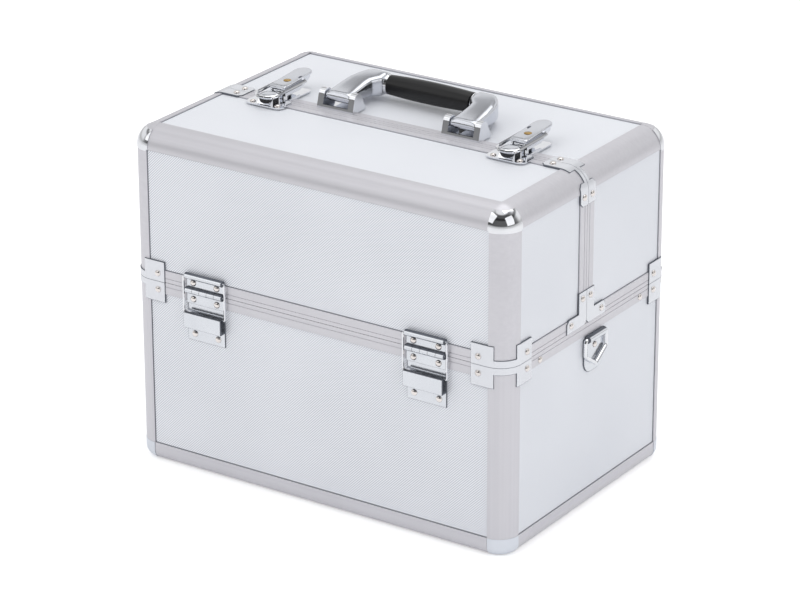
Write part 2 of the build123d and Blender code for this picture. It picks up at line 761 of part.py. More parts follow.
def tray_stud(pin, sy, start):
    """Rivet that carries a tray on an arm, headed outside the arm."""
    head = arm_outer_face + stud_gap
    stud = facet_rod(sy * pin[0], pin[1], stud_radius, start, head, stud_sides)
    return stud + facet_rod(sy * pin[0], pin[1], stud_head, head, head + stud_head_thick, stud_sides)


def base_stud(pin, sy, wall):
    """Rivet in the end wall, with a spacer behind the arm and a head in front of it."""
    head = arm_inner_x - stud_gap
    stud = facet_rod(sy * pin[0], pin[1], base_stud_spacer, arm_outer_face + stud_gap, wall, stud_sides)
    stud += facet_rod(sy * pin[0], pin[1], stud_radius, head, wall, stud_sides)
    return stud + facet_rod(sy * pin[0], pin[1], stud_head, head - stud_head_thick, head, stud_sides)


def tray_tub(sy, half, bottom, pockets):
    """Moulded tray with compartments."""
    outer = half_d - rail_back - tray_gap_outer
    near = split_y + sy * tray_gap_split
    far = sy * outer
    y0, y1 = min(near, far), max(near, far)
    tub = block(-half, half, y0, y1, bottom, bottom + tray_height)
    tub = fillet(tub.edges().filter_by(Axis.Z), tray_corner)
    tub = chamfer(tub.faces().sort_by(Axis.Z)[0].edges(), tray_floor_round)
    pitch = (2 * half - tray_wall) / pockets
    for index in range(pockets):
        x0 = -half + tray_wall + index * pitch
        tub -= block(x0, x0 + pitch - tray_wall, y0 + tray_wall, y1 - tray_wall,
                     bottom + tray_wall, bottom + tray_height)
    return tub


def tray_bracket(sy, bottom):
    """Steel plate that drops from the upper tray's end to its two pins."""
    shape = RegularPolygon(bracket_boss, bore_sides)
    corners = Pos(sy * high_pin[0], high_pin[1]) * shape + Pos(sy * high_rise_pin[0], high_rise_pin[1]) * shape
    top = flat(sy * high_pin[0] - bracket_boss, sy * high_pin[0] + bracket_boss, bottom, bottom + bracket_boss)
    top += flat(sy * high_rise_pin[0] - bracket_boss, sy * high_rise_pin[0] + bracket_boss,
                bottom, bottom + bracket_boss)
    plate = make_hull(corners.edges() + top.edges())
    return along_x(plate, tray_high_half, tray_high_half + bracket_sheet)


def trays(name, sy):
    high_bottom = tray_low_bottom + tray_height + tray_stack_gap
    keep(name + "_lower_tray", tray_tub(sy, tray_low_half, tray_low_bottom, low_pockets))
    keep(name + "_upper_tray", tray_tub(sy, tray_high_half, high_bottom, high_pockets))
    low_studs = []
    for pin in (low_pin, low_link_pin, low_rise_pin):
        low_studs += both_x(tray_stud(pin, sy, tray_low_half))
    keep(name + "_lower_tray_studs", low_studs)
    plate = tray_bracket(sy, high_bottom)
    for pin in (high_pin, high_rise_pin):
        plate += tray_stud(pin, sy, tray_high_half)
    keep(name + "_upper_tray_brackets", both_x(plate))
    keep(name + "_long_arms", both_x(strip_arm([base_pin, low_pin, high_pin], sy)))
    keep(name + "_lower_links", both_x(strip_arm([base_link_pin, low_link_pin], sy)))
    keep(name + "_upper_links", both_x(strip_arm([low_rise_pin, high_rise_pin], sy)))


def arm_studs():
    studs = []
    for sy in (-1, 1):
        studs += both_x(base_stud(base_pin, sy, wall_x))
        studs += both_x(base_stud(base_link_pin, sy, half_w - panel_back))
    keep("base_arm_studs", studs)


base_panels()
base_frame()
base_skins()
for lid_name, lid_side in (("front_lid", -1), ("rear_lid", 1)):
    lid_pieces(lid_name, lid_side)
    lid_skins(lid_name, lid_side)
hinges()
strap_ring_set()
handle()
pivot_pins()
latches()
arm_studs()
trays("front", -1)
trays("rear", 1)

os.makedirs("parts", exist_ok=True)
for node, solids in parts.items():
    flat_list = [solid for piece in solids for solid in piece.solids()]
    shape = flat_list[0] if len(flat_list) == 1 else Compound(flat_list)
    export_step(shape, f"parts/{node}.step")
print(len(parts), "nodes")
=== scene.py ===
import bpy, bmesh, math
from mathutils import Vector, Matrix


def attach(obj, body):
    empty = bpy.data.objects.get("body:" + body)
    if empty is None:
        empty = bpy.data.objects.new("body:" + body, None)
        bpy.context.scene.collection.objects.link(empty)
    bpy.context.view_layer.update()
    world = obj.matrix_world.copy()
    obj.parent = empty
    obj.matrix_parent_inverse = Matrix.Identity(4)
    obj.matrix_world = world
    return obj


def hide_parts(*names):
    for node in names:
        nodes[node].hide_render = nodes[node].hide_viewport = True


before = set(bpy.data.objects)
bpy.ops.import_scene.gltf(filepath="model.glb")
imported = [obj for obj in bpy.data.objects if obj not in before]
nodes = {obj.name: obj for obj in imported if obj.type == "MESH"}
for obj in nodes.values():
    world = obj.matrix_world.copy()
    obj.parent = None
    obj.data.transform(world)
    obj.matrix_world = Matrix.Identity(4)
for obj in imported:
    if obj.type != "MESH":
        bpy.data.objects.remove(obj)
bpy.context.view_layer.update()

mm = 0.001
weld = 1e-5  # metres between points that are taken as one

# the case as the frame has it, in mm; leg is the round edge rail's width
case = {"halfX": 180.0, "halfY": 122.5, "top": 290.0, "seam": 161.0, "split": -8.5, "leg": 18.0}
halfX, halfY, topZ = case["halfX"], case["halfY"], case["top"]


class Wire:
    # a shader socket that takes plain arithmetic
    def __init__(self, finish, socket):
        self.finish, self.socket = finish, socket

    def calc(self, operation, a, b):
        return self.finish.node("ShaderNodeMath", {"operation": operation}, {0: a, 1: b})

    def __add__(self, other): return self.calc("ADD", self, other)
    def __radd__(self, other): return self.calc("ADD", other, self)
    def __sub__(self, other): return self.calc("SUBTRACT", self, other)
    def __rsub__(self, other): return self.calc("SUBTRACT", other, self)
    def __mul__(self, other): return self.calc("MULTIPLY", self, other)
    def __rmul__(self, other): return self.calc("MULTIPLY", other, self)
    def __pow__(self, other): return self.calc("POWER", self, other)
    def __rpow__(self, other): return self.calc("POWER", other, self)


class Finish:
    # one material, or the world, and the nodes in it
    def __init__(self, name, tree=None, **constants):
        if tree is None:
            self.material = bpy.data.materials.new(name)
            self.material.use_nodes = True
            tree = self.material.node_tree
            self.shader = tree.nodes["Principled BSDF"]
        self.tree = tree
        for socket, value in constants.items():
            self.shader.inputs[socket.replace("_", " ")].default_value = value

    def node(self, kind, settings, inputs, out=0):
        made = self.tree.nodes.new(kind)
        for key, value in settings.items():
            if key == "stops":
                while len(made.color_ramp.elements) < len(value):
                    made.color_ramp.elements.new(0.5)
                for element, (place, shade) in zip(made.color_ramp.elements, value):
                    element.position, element.color = place, (shade, shade, shade, 1)
            else:
                setattr(made, key, value)
        for key, value in inputs.items():
            self.feed(made.inputs[key], value)
        return Wire(self, made.outputs[out])

    def feed(self, socket, value):
        if isinstance(value, Wire):
            self.tree.links.new(value.socket, socket)
        else:
            socket.default_value = value

    def set(self, socket, value):
        self.feed(self.shader.inputs[socket], value)

    def place(self, kind="Object"):
        return self.node("ShaderNodeTexCoord", {}, {}, kind)

    def axes(self, kind="Object"):
        split = self.node("ShaderNodeSeparateXYZ", {}, {0: self.place(kind)})
        return [Wire(self, split.socket.node.outputs[i]) for i in range(3)]

    def rayKinds(self, *kinds):
        path = self.node("ShaderNodeLightPath", {}, {})
        return [Wire(self, path.socket.node.outputs[kind]) for kind in kinds]

    def noise(self, scale, detail=3.0, stretch=(1, 1, 1)):
        moved = self.node("ShaderNodeMapping", {}, {"Vector": self.place(), "Scale": stretch})
        return self.node("ShaderNodeTexNoise", {}, {"Vector": moved, "Scale": scale, "Detail": detail})

    def ripples(self, distance, pitch):
        # a wave from -1 to 1, once for each pitch in mm
        phase = distance * (2 * math.pi / (pitch * mm))
        return self.node("ShaderNodeMath", {"operation": "SINE"}, {0: phase})

    def greater(self, a, b):
        return self.node("ShaderNodeMath", {"operation": "MAXIMUM"}, {0: a, 1: b})

    def ramp(self, amount, stops):
        return self.node("ShaderNodeValToRGB", {"stops": stops}, {0: amount})

    def blend(self, amount, low, high):
        return self.node("ShaderNodeMix", {"data_type": "RGBA"}, {0: amount, 6: low, 7: high}, 2)

    def bump(self, height, strength, distance):
        return self.node("ShaderNodeBump", {}, {"Strength": strength, "Distance": distance, "Height": height})


def tone(code):
    # a colour written as on screen, turned linear
    parts = [int(code[i:i + 2], 16) / 255 for i in (0, 2, 4)]
    return tuple(p / 12.92 if p <= 0.04045 else ((p + 0.055) / 1.055) ** 2.4 for p in parts) + (1.0,)


# lengths are in mm, noise scales are counts to the metre, drift is how far the noise moves the roughness
sheetLook = {"pale": "F3F5FA", "line": "AFB4BF", "metal": 0.08, "gloss": 0.42, "rough": 0.46, "drift": 0.08,
             "pitch": 2.15, "sharp": 2.0, "faint": 0.6, "uneven": 0.5, "patch": 9.0, "press": 0.35,
             "relief": 0.08}


def hatchedSheet(name, across, up, shade=1.0):
    # pressed diagonal hatch on the panels, lines rising to the right
    s = sheetLook
    f = Finish(name, Metallic=s["metal"], Specular_IOR_Level=s["gloss"])
    axes = f.axes()
    wave = f.ripples(axes[across] - axes[up], s["pitch"]) * 0.5 + 0.5
    patch = f.noise(s["patch"], 2.0)
    # shade below 1 paints the lines fainter, giving a painted lighter copy of the sheet
    lines = wave ** s["sharp"] * (s["faint"] + patch * s["uneven"]) * shade
    f.set("Base Color", f.blend(lines, tone(s["pale"]), tone(s["line"])))
    f.set("Roughness", s["rough"] + patch * s["drift"])
    f.set("Normal", f.bump(wave, s["press"], s["relief"] * mm))
    return f.material


railLook = {"bright": "DAD9DE", "dull": "C8C7CD", "metal": 0.62, "rough": 0.38, "drift": 0.06, "fine": 420,
            "long": 2.5, "grain": 0.6, "cloud": 14.0, "press": 0.05, "relief": 0.01}


def brushedRail(name, lengthAxis, metal=railLook["metal"]):
    # satin anodised extrusion, with faint draw lines along its length
    s = railLook
    f = Finish(name, Metallic=metal)
    stretch = [s["long"] if axis == lengthAxis else s["fine"] for axis in range(3)]
    grain = f.noise(1.0, 4.0, stretch)
    cloud = f.noise(s["cloud"], 2.0)
    mixed = grain * s["grain"] + cloud * (1 - s["grain"])
    f.set("Base Color", f.blend(mixed, tone(s["bright"]), tone(s["dull"])))
    f.set("Roughness", s["rough"] + grain * s["drift"])
    f.set("Normal", f.bump(grain, s["press"], s["relief"] * mm))
    return f.material


steelLook = {"cloud": 38.0, "scuff": 900.0, "stretch": (1, 0.15, 0.4), "drift": 0.05, "press": 0.10,
             "relief": 0.06}


def steelSheet(name, bright, dull, rough, metal):
    # thin rolled sheet: soft waves and fine scuffs
    s = steelLook
    f = Finish(name, Metallic=metal)
    cloud = f.noise(s["cloud"], 2.0)
    scuff = f.noise(s["scuff"], 3.0, s["stretch"])
    f.set("Base Color", f.blend(cloud, tone(bright), tone(dull)))
    f.set("Roughness", rough + scuff * s["drift"])
    f.set("Normal", f.bump(cloud, s["press"], s["relief"] * mm))
    return f.material


platedLook = {"smear": 60.0, "sharp": 2.0, "drift": 0.07, "wave": 120.0, "press": 0.04, "relief": 0.05}


def plated(name, bright, dull, rough):
    # polished plating, very slightly smeared
    s = platedLook
    f = Finish(name, Metallic=1.0)
    smear = f.noise(s["smear"], 3.0)
    f.set("Base Color", f.blend(smear, tone(bright), tone(dull)))
    f.set("Roughness", rough + smear ** s["sharp"] * s["drift"])
    f.set("Normal", f.bump(f.noise(s["wave"], 1.0), s["press"], s["relief"] * mm))
    return f.material


mouldedLook = {"cloud": 22.0, "drift": 0.12, "press": 0.25}


def moulded(name, light, dark, rough, grainScale, relief, gloss=0.5):
    # grained plastic or paint
    s = mouldedLook
    f = Finish(name, Metallic=0.0, Specular_IOR_Level=gloss)
    grain = f.noise(grainScale, 4.0)
    cloud = f.noise(s["cloud"], 2.0)
    f.set("Base Color", f.blend(cloud, tone(light), tone(dark)))
    f.set("Roughness", rough + grain * s["drift"])
    f.set("Normal", f.bump(grain, s["press"], relief * mm))
    return f.material


matLook = {"light": "2A2B2F", "dark": "15161A", "rough": 0.9, "pitch": 1.6, "press": 0.5, "relief": 0.2}


def matCloth(name):
    # thin woven mat on the case floor
    s = matLook
    f = Finish(name, Roughness=s["rough"])
    axes = f.axes()
    warp, weft = f.ripples(axes[0], s["pitch"]), f.ripples(axes[1], s["pitch"])
    weave = warp * weft * 0.5 + 0.5
    f.set("Base Color", f.blend(weave, tone(s["light"]), tone(s["dark"])))
    f.set("Normal", f.bump(weave, s["press"], s["relief"] * mm))
    return f.material


look = {
    "frontSheet": hatchedSheet("sheetFront", 0, 2),
    "endSheet": hatchedSheet("sheetEnd", 1, 2),
    # the top's copy paints its hatch lines at 0.7 strength: a painted lighter top, standing for the light
    # falling on it
    "topSheet": hatchedSheet("sheetTop", 0, 1, shade=0.7),
    "rail": brushedRail("railSatin", 0),
    "beltRail": brushedRail("beltSatin", 0, metal=0.35),
    "post": brushedRail("postSatin", 2),
    "bracket": steelSheet("bracketSteel", "E3E5EA", "D8DAE0", rough=0.22, metal=0.60),
    "hinge": steelSheet("hingeSteel", "E2E5EA", "D2D5DB", rough=0.13, metal=0.88),
    "arm": steelSheet("armSteel", "C9CCD2", "B4B8C0", rough=0.30, metal=0.95),
    "chrome": plated("chromePlate", "EDEEF1", "D9DBE0", rough=0.05),
    "satinChrome": plated("chromeSatin", "DADCE2", "CACDD4", rough=0.17),
    "rivet": plated("rivetPlate", "F0EBE8", "DAD3CF", rough=0.07),
    "cap": steelSheet("capPale", "E2E6EE", "D4D9E2", rough=0.36, metal=0.25),
    "grip": moulded("gripBlack", "0F0F12", "08080A", rough=0.27, grainScale=900.0, relief=0.03, gloss=0.40),
    "tray": moulded("trayDarkAndShade", "2E2F33", "222327", rough=0.52, grainScale=700.0, relief=0.08),
    "mat": matCloth("matWeave"),
    "key": plated("keyBrass", "C9A765", "9C7C40", rough=0.22),
    # painted shadow: the dark finish of the shadow rims at plate edges, the shadow lines round the panels and
    # the lever notch
    "seam": moulded("seamShadow", "6E727B", "585C65", rough=0.60, grainScale=500.0, relief=0.02, gloss=0.3),
}
print("finishes ready")

dressing = {
    "base_long_panels": "frontSheet", "base_end_panels": "endSheet", "base_floor_panel": "topSheet",
    "base_floor_liner": "mat", "base_posts": "post", "base_bottom_rails": "rail",
    "base_belt_rails": "beltRail", "base_corner_caps": "cap", "base_belt_brackets": "bracket",
    "base_arm_studs": "rivet",
    "hinge_base_leaves": "hinge", "hinge_pins": "hinge", "strap_plates": "hinge",
    "catch_plates": "chrome", "latch_bases": "chrome", "lid_pivot_pins": "chrome",
    "handle_brackets": "chrome", "handle_arms": "chrome", "handle_core_rod": "chrome", "handle_grip": "grip",
}
for side in ("right", "left"):
    dressing.update({
        side + "_latch_lever": "chrome", side + "_latch_lock": "arm", side + "_latch_bail": "chrome",
        side + "_strap_ring": "chrome"})
for half in ("front", "rear"):
    dressing.update({
        half + "_lid_face_panel": "frontSheet", half + "_lid_top_panel": "topSheet",
        half + "_lid_end_panels": "endSheet", half + "_lid_round_rails": "rail",
        half + "_lid_channel_rails": "beltRail", half + "_lid_ball_corners": "chrome",
        half + "_lid_brackets": "bracket", half + "_hinge_lid_leaves": "hinge",
        half + "_stay_wires": "chrome", half + "_long_arms": "arm", half + "_lower_links": "arm",
        half + "_upper_links": "arm", half + "_upper_tray_brackets": "arm",
        half + "_lower_tray_studs": "rivet", half + "_lower_tray": "tray", half + "_upper_tray": "tray"})

# faces that meet at less than this many degrees shade as one round form
shading = {"wire": 50.0, "plain": 32.0, "wireWords": ("wire", "bail", "ring", "stud", "pins", "hinge"),
           "flatEnds": ("panel", "liner", "belt_rails", "channel_rails", "long_arms", "links")}


def keepEdges(piece, angle):
    edge = piece.modifiers.new("edge", "EDGE_SPLIT")
    edge.split_angle = math.radians(angle)


for name, piece in nodes.items():
    piece.data.materials.clear()
    piece.data.materials.append(look[dressing[name]])
    if name.endswith(shading["flatEnds"]):
        continue
    piece.data.polygons.foreach_set("use_smooth", [True] * len(piece.data.polygons))
    keepEdges(piece, shading["wire" if any(word in name for word in shading["wireWords"]) else "plain"])
print("nodes dressed", len(nodes))


def pieceFrom(name, bm, finish, body, smooth=True):
    data = bpy.data.meshes.new(name)
    bm.to_mesh(data)
    bm.free()
    made = bpy.data.objects.new(name, data)
    bpy.context.scene.collection.objects.link(made)
    data.materials.append(look[finish])
    if smooth:
        data.polygons.foreach_set("use_smooth", [True] * len(data.polygons))
    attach(made, body)
    return made


def nodeMesh(source):
    # a working copy of a node's mesh with its split points joined
    bm = bmesh.new()
    bm.from_mesh(nodes[source].data)
    bmesh.ops.remove_doubles(bm, verts=bm.verts, dist=weld)
    return bm


def softCircle(count, square=1.0, offset=0.0):
    # points of a unit circle, squarer as the power drops
    ring = []
    for k in range(count):
        a = 2 * math.pi * (k + offset) / count
        c, s = math.cos(a), math.sin(a)
        ring.append((math.copysign(abs(c) ** square, c), math.copysign(abs(s) ** square, s)))
    return ring


def skinRings(bm, rings):
    # faces between rings of points in mm, in order along the piece, closed at both ends
    made = [[bm.verts.new(Vector(p) * mm) for p in ring] for ring in rings]
    for low, high in zip(made, made[1:]):
        for k in range(len(low)):
            n = (k + 1) % len(low)
            bm.faces.new((low[k], low[n], high[n], high[k]))
    bm.faces.new(list(reversed(made[0])))
    bm.faces.new(made[-1])


rivetShape = {"radius": 2.7, "rise": 1.5, "skirt": 0.15, "sunk": 0.1, "shoulder": 0.97, "steps": 18, "rows": 6}


def domeRivets(name, body, spots, scale=1.0):
    # low domed heads; spots are (point in mm, outward direction)
    shape = rivetShape
    radius, rise, skirt = (shape[key] * scale for key in ("radius", "rise", "skirt"))
    outline = [(radius, -shape["sunk"]), (radius, skirt)]
    for i in range(1, shape["rows"]):
        t = i / shape["rows"] * math.pi / 2
        outline.append((radius * shape["shoulder"] * math.cos(t), skirt + rise * math.sin(t)))
    bm = bmesh.new()
    for point, out in spots:
        facing = Vector((0, 0, 1)).rotation_difference(Vector(out)).to_matrix().to_4x4()
        turn = Matrix.Translation(Vector(point)) @ facing
        skinRings(bm, [[turn @ Vector((r * c, r * s, z)) for c, s in softCircle(shape["steps"])]
                       for r, z in outline])
    pieceFrom(name, bm, "rivet", body)


# where the rivets sit: corner brackets, tee plates of the side split, hinges, strap plates and catches
bracketRivets = {"skin": 0.8, "faceX": 153.5, "endY": 96.0, "lidFaceZ": 168.0, "lidEndZ": 168.5,
                 "baseFaceZ": 154.0, "baseEndZ": 154.5, "baseTeeY": 76.0, "splitGap": 0.2,
                 "tee": ((5.6, 184.0), (22.5, 167.0), (5.6, 268.5)), "topTee": (151.5, 5.4)}
hingeRivets = {"x": 106.0, "spread": 11.6, "leaf": 1.0, "lidZ": 167.6, "baseZ": 153.6, "footZ": 123.2,
               "scale": 1.05}
strapRivets = {"x": 180.15, "y": 6.0, "z": 138.5, "scale": 0.95}
catchRivets = {"spread": 12.2, "y": -24.5, "z": 291.2, "scale": 0.95}
latchX = 115.5


def bracketSpots(sy):
    s = bracketRivets
    lidSpots, baseSpots = [], []
    faceOut, faceY = (0, sy, 0), sy * (halfY + s["skin"])
    inner = case["split"] + sy * s["splitGap"]
    for sx in (-1, 1):
        endOut, sideX = (sx, 0, 0), sx * (halfX + s["skin"])
        lidSpots += [((sx * s["faceX"], faceY, s["lidFaceZ"]), faceOut),
                     ((sideX, sy * s["endY"], s["lidEndZ"]), endOut)]
        lidSpots += [((sideX, inner + sy * along, z), endOut) for along, z in s["tee"]]
        topX, topIn = s["topTee"]
        lidSpots.append(((sx * topX, inner + sy * topIn, topZ + s["skin"]), (0, 0, 1)))
        baseSpots += [((sx * s["faceX"], faceY, s["baseFaceZ"]), faceOut),
                      ((sideX, sy * s["endY"], s["baseEndZ"]), endOut),
                      ((sx * halfX, sy * s["baseTeeY"], s["baseEndZ"]), endOut)]
    return lidSpots, baseSpots


def hingeSpots(sy):
    s = hingeRivets
    lidSpots, baseSpots = [], []
    for x in [sx * s["x"] + dx for sx in (-1, 1) for dx in (-s["spread"], s["spread"])]:
        lidSpots.append(((x, sy * (halfY + s["leaf"]), s["lidZ"]), (0, sy, 0)))
        baseSpots.append(((x, sy * (halfY + s["leaf"]), s["baseZ"]), (0, sy, 0)))
        baseSpots.append(((x, sy * halfY, s["footZ"]), (0, sy, 0)))
    return lidSpots, baseSpots


for half, sy in (("front", -1), ("rear", 1)):
    lidSpots, baseSpots = bracketSpots(sy)
    domeRivets(half + "LidBracketRivets", half + "_lid", lidSpots)
    domeRivets(half + "BaseBracketRivets", "base", baseSpots)
    lidSpots, baseSpots = hingeSpots(sy)
    domeRivets(half + "HingeLidRivets", half + "_lid", lidSpots, hingeRivets["scale"])
    domeRivets(half + "HingeBaseRivets", "base", baseSpots, hingeRivets["scale"])
s = strapRivets
spots = [((sx * s["x"], s["y"], s["z"]), (sx, 0, 0)) for sx in (-1, 1)]
domeRivets("strapPlateRivets", "base", spots, s["scale"])
s = catchRivets
spots = [((sx * latchX + dx, s["y"], s["z"]), (0, 0, 1))
         for sx in (-1, 1) for dx in (-s["spread"], s["spread"])]
domeRivets("catchRivets", "front_lid", spots, s["scale"])

# sizes in mm of the painted shadow rims round the plates
edgeShadowRim = {"swell": 0.46, "sink": 0.50}


def pastRail(at, half):
    # how far a coordinate lies out past the inner side of the edge rail, with its sign
    return math.copysign(max(abs(at) - half + case["leg"], 0), at)


def edgeShadow(source, body):
    # painted shadow: a thin dark rim round a plate, standing for the contact shade along its edges; its own
    # form swelled a little and sunk towards the case
    bm = nodeMesh(source)
    bm.normal_update()
    moves = []
    for v in bm.verts:
        out = Vector([pastRail(c / mm, half) for c, half in zip(v.co, (halfX, halfY, topZ))])
        moves.append(v.normal * edgeShadowRim["swell"] - out.normalized() * edgeShadowRim["sink"])
    for v, move in zip(bm.verts, moves):
        v.co += move * mm
    pieceFrom(source + "EdgeLine", bm, "seam", body, smooth=False)


# painted shadow rims round the brackets, hinge leaves and strap plates
for source, body in (("base_belt_brackets", "base"), ("front_lid_brackets", "front_lid"),
                     ("rear_lid_brackets", "rear_lid"), ("hinge_base_leaves", "base"),
                     ("front_hinge_lid_leaves", "front_lid"), ("rear_hinge_lid_leaves", "rear_lid"),
                     ("strap_plates", "base")):
    edgeShadow(source, body)
print("rivets and edge lines set")

# painted shadow lines round the panels, dark strips where the panel edges lie in shade; root, shoulder and
# proud are heights off the panel; sink is how far the panel lies in from the case's face, low the top of the
# bottom rail, and band the width of one belt or split rail
panelShadowLine = {"wide": 0.55, "root": 0.3, "shoulder": 0.06, "proud": 0.10, "bevel": 0.12, "sink": 1.05,
            "low": 15.5, "band": 10.2}


def paintedShadowFrame(bm, origin, uDir, vDir, u0, u1, v0, v1):
    # painted shadow: a dark strip round one panel where its edge lies in shade, from u0 to u1 and v0 to v1 in
    # mm on its plane
    origin, uDir, vDir = Vector(origin), Vector(uDir), Vector(vDir)
    out = uDir.cross(vDir)
    s, w = panelShadowLine, panelShadowLine["wide"]
    bars = ((u0, u1, v0, v0 + w), (u0, u1, v1 - w, v1),
            (u0, u0 + w, v0 + w, v1 - w), (u1 - w, u1, v0 + w, v1 - w))
    for a0, a1, b0, b1 in bars:
        rings = []
        for lift, t in ((-s["root"], 0.0), (s["shoulder"], 0.0), (s["proud"], s["bevel"])):
            corners = ((a0 + t, b0 + t), (a1 - t, b0 + t), (a1 - t, b1 - t), (a0 + t, b1 - t))
            rings.append([origin + uDir * a + vDir * b + out * lift for a, b in corners])
        skinRings(bm, rings)


inX, inY = halfX - case["leg"], halfY - case["leg"]
sideX, faceY = halfX - panelShadowLine["sink"], halfY - panelShadowLine["sink"]
baseUp = (panelShadowLine["low"], case["seam"] - panelShadowLine["band"])
lidUp = (case["seam"] + panelShadowLine["band"], topZ - case["leg"])
upward = (0, 0, 1)
shadows = {"base": bmesh.new(), "front_lid": bmesh.new(), "rear_lid": bmesh.new()}
for sy, lid in ((-1, "front_lid"), (1, "rear_lid")):
    paintedShadowFrame(shadows["base"], (0, sy * faceY, 0), (-sy, 0, 0), upward, -inX, inX, *baseUp)
    paintedShadowFrame(shadows[lid], (0, sy * faceY, 0), (-sy, 0, 0), upward, -inX, inX, *lidUp)
    y0, y1 = sorted((case["split"] + sy * panelShadowLine["band"], sy * inY))
    paintedShadowFrame(shadows[lid], (0, 0, topZ - panelShadowLine["sink"]), (1, 0, 0), (0, 1, 0), -inX, inX, y0, y1)
    for sx in (-1, 1):
        u0, u1 = sorted((sx * y0, sx * y1))
        paintedShadowFrame(shadows[lid], (sx * sideX, 0, 0), (0, sx, 0), upward, u0, u1, *lidUp)
for sx in (-1, 1):
    paintedShadowFrame(shadows["base"], (sx * sideX, 0, 0), (0, sx, 0), upward, -inY, inY, *baseUp)
for body, bm in shadows.items():
    pieceFrom(body + "PanelSeams", bm, "seam", body, smooth=False)
print("panel seams laid")

ballCut = {"height": 287.0, "under": 0.35, "exact": 1e-6}


def cornerPatch(name, source, body, above, finish):
    # the ball corner below its upper edge, or the mitred rail end that shows above it
    bm = nodeMesh(source)
    cut = bmesh.ops.bisect_plane(bm, geom=bm.verts[:] + bm.edges[:] + bm.faces[:], dist=ballCut["exact"],
                                 plane_co=Vector((0, 0, ballCut["height"])) * mm, plane_no=upward,
                                 clear_inner=above, clear_outer=not above)
    rim = [e for e in cut["geom_cut"] if isinstance(e, bmesh.types.BMEdge)]
    bmesh.ops.holes_fill(bm, edges=rim)
    if above:
        for v in bm.verts:
            v.co.z -= ballCut["under"] * mm
    piece = pieceFrom(name, bm, finish, body)
    keepEdges(piece, shading["plain"])
    return piece


for lid in ("front_lid", "rear_lid"):
    source = lid + "_ball_corners"
    balls = cornerPatch(lid + "BallCorners", source, lid, False, "chrome")
    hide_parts(source)
    cornerPatch(lid + "RailMitres", source, lid, True, "rail")
print("ball corners cut")

# the arm from its pivot eye to the grip socket: (y, x) along both sides, (y, height, radius) of the ends
castArm = {"inner": [(-2.1, 48.4), (24, 48.4), (30, 47.4), (35, 43.6), (36.5, 42.0), (54.6, 42.0)],
           "outer": [(-2.1, 71.6), (10, 71.6), (20, 71.4), (30, 70.4), (38, 68.0), (44, 64.6), (49, 60.0),
                     (52.4, 55.0), (54.0, 50.0), (54.6, 46.0)],
           "eye": (2.5, 10.0, 4.6), "socket": (45.0, 11.8, 9.6), "from": -2.1, "reach": 56.7,
           "ends": (-2.0, 54.55), "ease": 0.35, "stations": 46, "ring": 36, "square": 0.4}


def onLine(points, y):
    # straight runs between listed (y, value) points
    for (ya, a), (yb, b) in zip(points, points[1:]):
        if y <= yb:
            return a + (b - a) * max(0.0, (y - ya) / (yb - ya))
    return points[-1][1]


def discHeights(y, disc):
    centre, height, radius = disc
    reachUp = math.sqrt(max(0.0, radius ** 2 - (y - centre) ** 2))
    return height - reachUp, height + reachUp


def armHeights(y):
    # bottom and top of the cast arm: two discs and the flanks between them
    (ye, ze, re), (yg, zg, rg) = castArm["eye"], castArm["socket"]
    if y < ye:
        return discHeights(y, castArm["eye"])
    if y > yg:
        return discHeights(y, castArm["socket"])
    t = (y - ye) / (yg - ye)
    soft = t * t * (3 - 2 * t) * castArm["ease"] + t * (1 - castArm["ease"])
    return (ze - re) * (1 - t) + (zg - rg) * t, (ze + re) * (1 - soft) + (zg + rg) * soft


def armRing(sx, y):
    # soft-cornered section across the arm
    low, high = armHeights(y)
    inner, outer = onLine(castArm["inner"], y), onLine(castArm["outer"], y)
    midX, midZ, reachX, reachZ = (inner + outer) / 2, (low + high) / 2, (outer - inner) / 2, (high - low) / 2
    return [(sx * (midX + reachX * c), y, topZ + midZ + reachZ * s)
            for c, s in softCircle(castArm["ring"], castArm["square"], 0.5)]


bm = bmesh.new()
first, last = castArm["ends"]
steps = [i / castArm["stations"] for i in range(castArm["stations"] + 1)]
stations = [min(max(castArm["from"] + castArm["reach"] * t, first), last) for t in steps]
for sx in (-1, 1):
    skinRings(bm, [armRing(sx, y) for y in stations])
bmesh.ops.recalc_face_normals(bm, faces=bm.faces)
arms = pieceFrom("handleCastArms", bm, "satinChrome", "handle")
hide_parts("handle_arms")

# (x, radius) along the grip's axis
collar = {"outline": ((38.8, 7.0), (39.3, 7.6), (41.0, 7.6), (41.6, 8.4), (42.4, 8.4)), "y": 45.0, "up": 11.8,
          "steps": 36}
bm = bmesh.new()
turns = softCircle(collar["steps"])
for sx in (-1, 1):
    skinRings(bm, [[(sx * x, collar["y"] + r * c, topZ + collar["up"] + r * s) for c, s in turns]
                   for x, r in collar["outline"]])
bmesh.ops.recalc_face_normals(bm, faces=bm.faces)
pieceFrom("gripCollars", bm, "chrome", "handle")
print("handle cast")

